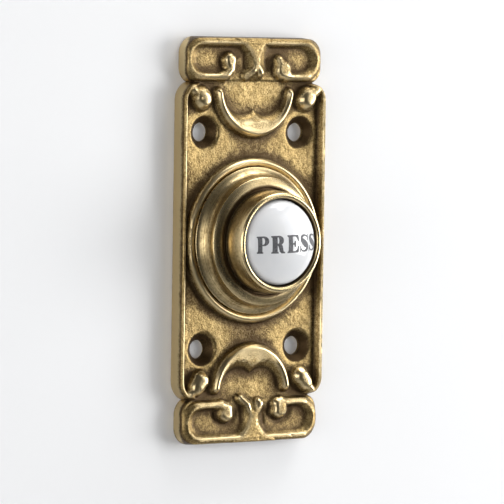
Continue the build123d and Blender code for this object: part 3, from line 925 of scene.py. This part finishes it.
def make_push():
    """The glazed push with its smooth dome, which stands for the faceted one of the frame."""
    meeting = asin(EDGE_CENTRE / (CROWN_RADIUS - DOME_EDGE_RADIUS))
    crown = [
        (CROWN_RADIUS * sin(a), CROWN_CENTRE + CROWN_RADIUS * cos(a))
        for a in np.linspace(0.0, meeting, 40)
    ]
    edge = [
        (EDGE_CENTRE + DOME_EDGE_RADIUS * sin(a), DOME_FOOT + DOME_EDGE_RADIUS * cos(a))
        for a in np.linspace(meeting, pi / 2, 20)
    ]
    hollow_middle = ((PUSH_STEM_RADIUS + HOLLOW_RADIUS) / 2, HOLLOW_TOP)
    hollow_edge = HOLLOW_TOP - (HOLLOW_RADIUS - PUSH_STEM_RADIUS) / 2
    hollow = arc_through((HOLLOW_RADIUS, hollow_edge), hollow_middle, (PUSH_STEM_RADIUS, hollow_edge), 12)
    outer = [
        (PUSH_RADIUS, FLANGE_FRONT),
        (FLANGE_RADIUS, FLANGE_FRONT),
        (FLANGE_RADIUS, FLANGE_BACK),
        (HOLLOW_RADIUS, FLANGE_BACK),
    ]
    stem = [(PUSH_STEM_RADIUS, PUSH_STEM_END), (0.0, PUSH_STEM_END)]
    profile = crown + edge[1:] + outer + hollow + stem
    points, faces = turned_mesh(profile, TURNED_SEGMENTS)
    push = new_piece("porcelain_push", points, faces, "push")
    smooth_shade(push, PUSH_SHARP_ANGLE)
    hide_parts("push_button")
    return push


# Lettering on the push, in plain fat-faced capitals drawn on a square of unit height
LETTER_HEIGHT = 3.95
LETTER_TURN = 1.8
WORD = (
    # letter, left edge along the dome and width
    ("P", -8.1, 2.75),
    ("R", -4.85, 3.35),
    ("E", -0.85, 3.3),
    ("S", 2.75, 3.1),
    ("S", 6.05, 3.1),
)
WORD_FOOT = -2.13
WORD_MIDDLE = (0.4, -0.15)
INK_PROUD = 0.014
INK_SUNK = 0.03
LETTER_GRID = 0.45
STEM_STROKE = (
    (0.0, 0.0), (0.52, 0.0), (0.52, 0.07), (0.44, 0.11), (0.44, 0.89), (0.52, 0.93), (0.52, 1.0),
    (0.0, 1.0), (0.0, 0.93), (0.08, 0.89), (0.08, 0.11), (0.0, 0.07),
)
TOP_ARM = ((0.3, 1.0), (0.95, 1.0), (0.98, 0.64), (0.88, 0.64), (0.8, 0.83), (0.66, 0.91), (0.3, 0.91))
MIDDLE_ARM = (
    (0.3, 0.55), (0.54, 0.55), (0.6, 0.67), (0.69, 0.67),
    (0.69, 0.33), (0.6, 0.33), (0.54, 0.45), (0.3, 0.45),
)
FOOT_ARM = ((0.3, 0.0), (0.97, 0.0), (1.0, 0.38), (0.9, 0.38), (0.82, 0.18), (0.68, 0.09), (0.3, 0.09))
LEG = (
    (0.34, 0.53), (0.62, 0.55), (0.8, 0.44), (0.86, 0.2), (0.9, 0.1), (1.0, 0.08), (1.0, 0.0),
    (0.74, 0.0), (0.6, 0.1), (0.52, 0.34), (0.46, 0.44), (0.34, 0.45),
)
S_SERIFS = (
    ((0.82, 0.64), (0.92, 0.64), (0.93, 1.0), (0.84, 1.0)),
    ((0.02, 0.0), (0.11, 0.0), (0.13, 0.36), (0.03, 0.36)),
)
S_LINE = (
    # places along the letter's spine and its width there
    (0.87, 0.74, 0.07), (0.76, 0.9, 0.09), (0.52, 0.955, 0.1), (0.28, 0.89, 0.2), (0.2, 0.75, 0.3),
    (0.32, 0.61, 0.36), (0.54, 0.49, 0.4), (0.75, 0.37, 0.36), (0.83, 0.24, 0.3), (0.74, 0.11, 0.2),
    (0.5, 0.045, 0.1), (0.24, 0.1, 0.09), (0.09, 0.26, 0.07),
)


def bowl(low, high, reach):
    """The round side of a P or R between two heights, thin at its ends and fat in its middle."""
    middle, half = (low + high) / 2, (high - low) / 2
    angles = np.linspace(pi / 2, -pi / 2, 25)
    outer = [(0.56 + (reach - 0.56) * cos(a), middle + half * sin(a)) for a in angles]
    inner = [(0.5 + (reach - 0.84) * cos(a), middle + (half - 0.085) * sin(a)) for a in angles]
    return [(0.3, high)] + outer + [(0.3, low), (0.3, low + 0.085)] + inner[::-1] + [(0.3, high - 0.085)]


def ribbon(line):
    """The outline of a stroke of changing width along a smooth line."""
    line = np.asarray(line)
    stations = np.linspace(0, len(line) - 1, 6 * len(line))
    low = np.clip(stations.astype(int), 0, len(line) - 2)
    t = (stations - low)[:, None]
    before = line[np.maximum(low - 1, 0)]
    after = line[np.minimum(low + 2, len(line) - 1)]
    start, end = line[low], line[low + 1]
    spread = (
        2 * start + (end - before) * t + (2 * before - 5 * start + 4 * end - after) * t**2
        + (3 * start - before - 3 * end + after) * t**3
    ) / 2
    along = np.gradient(spread[:, :2], axis=0)
    along /= np.linalg.norm(along, axis=1)[:, None]
    side = np.stack([-along[:, 1], along[:, 0]], axis=1) * spread[:, 2:] / 2
    return (spread[:, :2] + side).tolist() + (spread[:, :2] - side).tolist()[::-1]


LETTERS = {
    "P": [STEM_STROKE, bowl(0.44, 1.0, 1.0)],
    "R": [STEM_STROKE, bowl(0.47, 1.0, 0.9), LEG],
    "E": [STEM_STROKE, TOP_ARM, MIDDLE_ARM, FOOT_ARM],
    "S": [ribbon(S_LINE), *S_SERIFS],
}


def slice_fine(work):
    """Cut a flat letter across and along, fine enough to bend."""
    for axis in (0, 2):
        reach = [corner.co[axis] / MM for corner in work.verts]
        normal = [1.0 if a == axis else 0.0 for a in range(3)]
        for place in np.arange(min(reach) + LETTER_GRID / 2, max(reach), LETTER_GRID):
            point = [place * MM * part for part in normal]
            everything = work.verts[:] + work.edges[:] + work.faces[:]
            bmesh.ops.bisect_plane(work, geom=everything, plane_co=point, plane_no=normal)


def laid_on_dome(flat):
    """Where a place of the flat word lies, turned a little and bent over the crown."""
    turn = radians(LETTER_TURN)
    x = flat.x / MM - WORD_MIDDLE[0]
    z = flat.z / MM - WORD_MIDDLE[1]
    x, z = x * cos(turn) - z * sin(turn), x * sin(turn) + z * cos(turn)
    x, z = x + WORD_MIDDLE[0], z + WORD_MIDDLE[1]
    reach = max(hypot(x, z), TINY)
    angle = reach / CROWN_RADIUS
    radius = CROWN_RADIUS - flat.y / MM
    out = radius * sin(angle) / reach
    return Vector((x * out, -CROWN_CENTRE - radius * cos(angle), z * out)) * MM


def make_letters():
    """The word on the dome: flat letters, cut fine enough to bend, then laid on the crown."""
    for number, (letter, left, width) in enumerate(WORD):
        piece = None
        for outline in LETTERS[letter]:
            flat = [(left + x * width, WORD_FOOT + y * LETTER_HEIGHT) for x, y in outline]
            stroke = prism("stroke", flat, -INK_SUNK, INK_PROUD)
            if piece is None:
                piece = stroke
            else:
                combine(piece, stroke, "UNION")
        work = bmesh.new()
        work.from_mesh(piece.data)
        slice_fine(work)
        for corner in work.verts:
            corner.co = laid_on_dome(corner.co)
        work.to_mesh(piece.data)
        work.free()
        piece.name = f"letter_{number + 1}_{letter}"
        piece.data.materials.append(ink)
        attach(piece, "push")


def make_leaf():
    """A copy of the contact leaf in spring bronze, in place of the CAD one."""
    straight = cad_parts["moving_contact"]
    leaf = placed("contact_leaf", straight.data.copy())
    leaf.data.materials.clear()
    leaf.data.materials.append(bronze)
    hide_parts("moving_contact")
    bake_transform(leaf)


# Shader helpers


def feed(tree, made, inputs):
    """Feed each input of a node from a socket, or set it to a plain value."""
    for key, value in inputs.items():
        if isinstance(value, bpy.types.NodeSocket):
            tree.links.new(value, made.inputs[key])
        else:
            made.inputs[key].default_value = value
    return made


def node(tree, kind, inputs=None, **settings):
    """Add a shader node with its options and inputs."""
    made = tree.nodes.new(kind)
    for name, value in settings.items():
        setattr(made, name, value)
    return feed(tree, made, inputs or {})


def math(tree, operation, first, second=0.0):
    """One sum on two values."""
    return node(tree, "ShaderNodeMath", {0: first, 1: second}, operation=operation).outputs[0]


def weighed(tree, first, share, second, other):
    """Two values added by their shares."""
    return math(tree, "ADD", math(tree, "MULTIPLY", first, share), math(tree, "MULTIPLY", second, other))


def between(tree, value, low, high, out_low=0.0, out_high=1.0):
    """A value eased from one level to another as the input goes from low to high."""
    inputs = {"Value": value, 1: low, 2: high, 3: out_low, 4: out_high}
    return node(tree, "ShaderNodeMapRange", inputs, interpolation_type="SMOOTHSTEP").outputs[0]


def mixed(tree, share, first, second):
    """One colour turning into another."""
    inputs = {0: share, 6: first, 7: second}
    return node(tree, "ShaderNodeMix", inputs, data_type="RGBA").outputs[2]


def noise(tree, place, size, detail=2.0, rough=0.5):
    """Noise with lumps of a size in millimetres."""
    inputs = {"Vector": place, "Scale": 1.0 / (size * MM), "Detail": detail, "Roughness": rough}
    return node(tree, "ShaderNodeTexNoise", inputs).outputs[0]


def object_place(tree):
    """Places on the object, in metres."""
    return node(tree, "ShaderNodeTexCoord").outputs["Object"]


def group(name, inputs, outputs):
    """A new node group with float inputs and outputs, apart from outputs called Colour."""
    tree = bpy.data.node_groups.new(name, "ShaderNodeTree")
    for label in inputs:
        tree.interface.new_socket(label, in_out="INPUT", socket_type="NodeSocketFloat")
    for label in outputs:
        kind = "NodeSocketColor" if label == "Colour" else "NodeSocketFloat"
        tree.interface.new_socket(label, in_out="OUTPUT", socket_type=kind)
    return tree, tree.nodes.new("NodeGroupInput"), tree.nodes.new("NodeGroupOutput")


def use(tree, shared, inputs=None):
    """Put a node group into a material."""
    return node(tree, "ShaderNodeGroup", inputs, node_tree=shared)


def material(name):
    """A new material, its tree and its main shader."""
    made = bpy.data.materials.new(name)
    made.use_nodes = True
    return made, made.node_tree, made.node_tree.nodes["Principled BSDF"]


def attribute(tree, name):
    """A number stored on the mesh."""
    return node(tree, "ShaderNodeAttribute", attribute_name=name).outputs["Fac"]


def bumped(tree, shader, height, depth):
    """Give a shader fine relief of a depth in millimetres."""
    bump = node(tree, "ShaderNodeBump", {"Height": height, "Strength": 1.0, "Distance": depth * MM})
    feed(tree, shader, {"Normal": bump.outputs[0]})


# Shared surface effects
WORN_BRASS = (0.66, 0.52, 0.285, 1.0)
AGED_BRASS = (0.355, 0.254, 0.106, 1.0)
DULL_BRASS = (0.175, 0.117, 0.045, 1.0)
# Dark brown of the hollows: partly grime, partly painted shade.
GRIME_AND_SHADE = (0.06, 0.034, 0.011, 1.0)


def make_grain():
    """The skin of sand-cast metal: fine lumps, scattered pits and soft cloudy patches."""
    tree, _, result = group("Cast grain", (), ("Height", "Speckle", "Cloud"))
    place = object_place(tree)
    lumps = noise(tree, place, 0.3, 3.0, 0.65)
    coarse = noise(tree, place, 1.1, 2.0, 0.5)
    cells = node(tree, "ShaderNodeTexVoronoi", {"Vector": place, "Scale": 1.0 / (1.3 * MM)})
    pits = between(tree, cells.outputs["Distance"], 0.05, 0.22)
    speckle = weighed(tree, lumps, 0.7, coarse, 0.3)
    height = math(tree, "ADD", speckle, math(tree, "MULTIPLY", pits, 0.35))
    cloud = between(tree, noise(tree, place, 6.0, 3.0), 0.3, 0.7)
    feed(tree, result, {"Height": height, "Speckle": between(tree, speckle, 0.38, 0.6), "Cloud": cloud})
    return tree


def make_turned_lines():
    """The fine rings that a lathe leaves round the boss's axis."""
    tree, _, result = group("Turned lines", (), ("Height", "Speckle", "Cloud"))
    place = object_place(tree)
    parts = node(tree, "ShaderNodeSeparateXYZ", {0: place})
    flat = node(tree, "ShaderNodeCombineXYZ", {0: parts.outputs[0], 2: parts.outputs[2]})
    reach = node(tree, "ShaderNodeVectorMath", {0: flat.outputs[0]}, operation="LENGTH").outputs["Value"]
    across = node(tree, "ShaderNodeCombineXYZ", {0: reach, 1: parts.outputs[1]}).outputs[0]
    rings = noise(tree, across, 0.22, 3.0, 0.6)
    speckle = noise(tree, place, 0.6, 3.0, 0.6)
    speckle = between(tree, weighed(tree, rings, 0.6, speckle, 0.4), 0.36, 0.64)
    cloud = between(tree, noise(tree, place, 5.0, 3.0), 0.3, 0.7)
    feed(tree, result, {"Height": rings, "Speckle": speckle, "Cloud": cloud})
    return tree


def make_patina():
    """Old brass: bright where hands rub it, brown between, and dark in its hollows with grime and painted
    shade.
    """
    needs = ("Crest", "Grime and shade", "Speckle", "Cloud")
    tree, given, result = group("Patina", needs, ("Colour", "Wear", "Grime and shade share"))
    crest, grime_and_shade, speckle, cloud = (given.outputs[label] for label in needs)
    loose = weighed(tree, speckle, 0.3, cloud, 0.25)
    wear = between(tree, math(tree, "ADD", crest, loose), 0.35, 1.15)
    # The share of dark colour: grime and painted shade in the hollows, broken up by the speckle.
    grime_and_shade_share = math(tree, "SUBTRACT", math(tree, "ADD", grime_and_shade, 0.22), math(tree, "MULTIPLY", loose, 0.8))
    grime_and_shade_share = between(tree, grime_and_shade_share, 0.1, 0.95)
    base = mixed(tree, speckle, DULL_BRASS, AGED_BRASS)
    base = mixed(tree, wear, base, WORN_BRASS)
    feed(tree, result, {"Colour": mixed(tree, grime_and_shade_share, base, GRIME_AND_SHADE), "Wear": wear, "Grime and shade share": grime_and_shade_share})
    return tree


# Materials


def brass_material(name, marks, depth, rough_aged, rough_worn):
    """Aged brass with a worker's marks: cast grain or turned lines."""
    made, tree, shader = material(name)
    skin = use(tree, marks)
    inputs = {
        "Crest": attribute(tree, "crest"),
        "Grime and shade": attribute(tree, "grime_and_shade"),
        "Speckle": skin.outputs["Speckle"],
        "Cloud": skin.outputs["Cloud"],
    }
    # The patina darkens the hollows with grime and painted shade.
    patina = use(tree, patina_group, inputs)
    wear, grime_and_shade_share = patina.outputs["Wear"], patina.outputs["Grime and shade share"]
    rough = between(tree, wear, 0.0, 1.0, rough_aged, rough_worn)
    rough = math(tree, "ADD", rough, math(tree, "MULTIPLY", grime_and_shade_share, 0.15))
    metal = between(tree, grime_and_shade_share, 0.0, 1.0, 1.0, 0.8)
    feed(tree, shader, {"Base Color": patina.outputs["Colour"], "Roughness": rough, "Metallic": metal})
    depth_left = between(tree, wear, 0.0, 0.8, 1.0, 0.2)
    bumped(tree, shader, math(tree, "MULTIPLY", skin.outputs["Height"], depth_left), depth)
    return made


def plain_material(name, first, second, size, rough, metallic=0.0):
    """A surface whose colour and gloss wander a little between two levels."""
    made, tree, shader = material(name)
    patches = between(tree, noise(tree, object_place(tree), size, 3.0), 0.3, 0.7)
    colour = mixed(tree, patches, (*first, 1.0), (*second, 1.0))
    gloss = between(tree, patches, 0.0, 1.0, *rough)
    feed(tree, shader, {"Base Color": colour, "Roughness": gloss, "Metallic": metallic})
    return made


def dress(names, finish):
    """Give CAD pieces that are shown as they are a finish."""
    for name in names:
        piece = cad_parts[name]
        piece.data.materials.clear()
        piece.data.materials.append(finish)


patina_group = make_patina()
cast_brass = brass_material("cast brass", make_grain(), 0.14, 0.34, 0.28)
turned_brass = brass_material("turned brass", make_turned_lines(), 0.006, 0.32, 0.27)
porcelain = plain_material("porcelain", (0.84, 0.85, 0.865), (0.87, 0.875, 0.88), 4.0, (0.07, 0.11))
ink = plain_material("ink", (0.07, 0.07, 0.075), (0.16, 0.16, 0.17), 0.35, (0.6, 0.7))
ebonite = plain_material("ebonite", (0.018, 0.015, 0.013), (0.035, 0.028, 0.023), 1.5, (0.3, 0.45))
bronze = plain_material("spring bronze", (0.5, 0.29, 0.15), (0.58, 0.36, 0.2), 1.0, (0.25, 0.38), 1.0)
new_brass = plain_material("contact brass", (0.6, 0.43, 0.18), (0.68, 0.52, 0.24), 1.0, (0.25, 0.36), 1.0)
steel = plain_material("screw steel", (0.33, 0.33, 0.34), (0.46, 0.46, 0.47), 0.6, (0.3, 0.42), 1.0)

make_plate().data.materials.append(cast_brass)
make_boss().data.materials.append(turned_brass)
make_push().data.materials.append(porcelain)
make_letters()
make_leaf()
dress(["contact_block"], ebonite)
dress(["fixed_contact"], new_brass)
for side in ("moving", "fixed"):
    dress([f"{side}_terminal_{part}" for part in ("screw", "washer", "nut")], new_brass)
dress(["upper_block_screw", "lower_block_screw"], steel)


# Stage
WALL_Y = 0.0004
WALL_HALF = 2.0
FLOOR_Z = -1.05


def stage_material(name, colour, see_through_back):
    """Matt pale paint; seen from behind, the wall's is clear."""
    made, tree, shader = material(name)
    patches = between(tree, noise(tree, object_place(tree), 120.0), 0.3, 0.7)
    shade = tuple(part * 0.99 for part in colour)
    paint_colour = mixed(tree, patches, (*colour, 1.0), (*shade, 1.0))
    feed(tree, shader, {"Base Color": paint_colour, "Roughness": 0.95, "Specular IOR Level": 0.1})
    if see_through_back:
        behind = node(tree, "ShaderNodeNewGeometry").outputs["Backfacing"]
        clear = node(tree, "ShaderNodeBsdfTransparent").outputs[0]
        both = node(tree, "ShaderNodeMixShader", {0: behind, 1: shader.outputs[0], 2: clear})
        feed(tree, tree.nodes["Material Output"], {"Surface": both.outputs[0]})
    return made


def stage_plane(name, near, far, finish):
    """One flat sheet of the set, between two edges that are given as (y, z)."""
    corners = [(-WALL_HALF, *near), (WALL_HALF, *near), (WALL_HALF, *far), (-WALL_HALF, *far)]
    mesh = bpy.data.meshes.new(name)
    mesh.from_pydata(corners, [], [[0, 1, 2, 3]])
    sheet = placed(name, mesh)
    mesh.materials.append(finish)
    return sheet


wall_paint = stage_material("wall paint", (0.97, 0.975, 0.985), True)
wall = stage_plane("wall", (WALL_Y, FLOOR_Z), (WALL_Y, WALL_HALF), wall_paint)
# The lamp behind the wall lights the plate's back through it.
wall.visible_shadow = False
floor_paint = stage_material("floor paint", (0.85, 0.855, 0.86), False)
stage_plane("floor", (-WALL_HALF, FLOOR_Z), (WALL_Y, FLOOR_Z), floor_paint)


# Light
LAMP_DISTANCE = 0.9
LAMPS = (
    # name, direction across and up in degrees, length of a side and power
    ("right", 62.0, 0.0, 0.5, 7.4),
    ("upper right", 60.0, 62.0, 0.5, 5.3),
    ("front right", 44.0, 24.0, 0.5, 1.5),
    ("left", -78.0, 0.0, 0.5, 2.8),
    ("camera side", -45.0, 0.0, 0.5, 2.0),
    ("behind", 165.0, 10.0, 0.6, 4.0),
)
WORLD_LOW = 0.01
WORLD_HIGH = 0.05


def make_world():
    """A studio that is brighter above than below."""
    world = bpy.data.worlds.new("studio")
    bpy.context.scene.world = world
    world.use_nodes = True
    tree = world.node_tree
    looking = node(tree, "ShaderNodeTexCoord").outputs["Generated"]
    upward = node(tree, "ShaderNodeSeparateXYZ", {0: looking}).outputs[2]
    strength = between(tree, upward, -0.3, 0.8, WORLD_LOW, WORLD_HIGH)
    feed(tree, tree.nodes["Background"], {"Strength": strength, "Color": (0.98, 0.99, 1.0, 1.0)})


def direction(azimuth, elevation):
    """A unit vector so far round from the front and so far up, in radians."""
    level = cos(elevation)
    return Vector((sin(azimuth) * level, -cos(azimuth) * level, sin(elevation)))


def softbox(name, azimuth, elevation, side, power):
    """A square lamp that faces the bell push from a direction in degrees."""
    place = direction(radians(azimuth), radians(elevation)) * LAMP_DISTANCE
    lamp = bpy.data.lights.new(name, "AREA")
    lamp.shape = "RECTANGLE"
    lamp.size = side
    lamp.size_y = side
    lamp.energy = power
    holder = placed(name, lamp)
    holder.location = place
    holder.rotation_euler = (-place).to_track_quat("-Z", "Y").to_euler()


make_world()
for lamp_values in LAMPS:
    softbox(*lamp_values)


# Camera
CAMERA_AZIMUTH = radians(-36.469)
CAMERA_ELEVATION = radians(2.742)
CAMERA_ROLL = radians(0.844)
CAMERA_DISTANCE = 0.84722
CAMERA_FOCAL_PIXELS = 3785.67
PICTURE_PIXELS = 504
ORIGIN_PIXEL = (244.114, 239.602)


def make_camera():
    """A long lens, from the left of the bell push and a little above it."""
    data = bpy.data.cameras.new("camera")
    camera = placed("camera", data)
    bpy.context.scene.camera = camera
    data.lens = data.sensor_width * CAMERA_FOCAL_PIXELS / PICTURE_PIXELS
    data.shift_x = 0.5 - ORIGIN_PIXEL[0] / PICTURE_PIXELS
    data.shift_y = ORIGIN_PIXEL[1] / PICTURE_PIXELS - 0.5
    back = direction(CAMERA_AZIMUTH, CAMERA_ELEVATION)
    right = Vector((cos(CAMERA_AZIMUTH), sin(CAMERA_AZIMUTH), 0.0))
    up = back.cross(right)
    turn = Matrix((right, up, back)).transposed().to_4x4()
    roll = Matrix.Rotation(CAMERA_ROLL, 4, "Z")
    camera.matrix_world = Matrix.Translation(back * CAMERA_DISTANCE) @ turn @ roll


make_camera()
bpy.context.scene.view_settings.view_transform = "Standard"
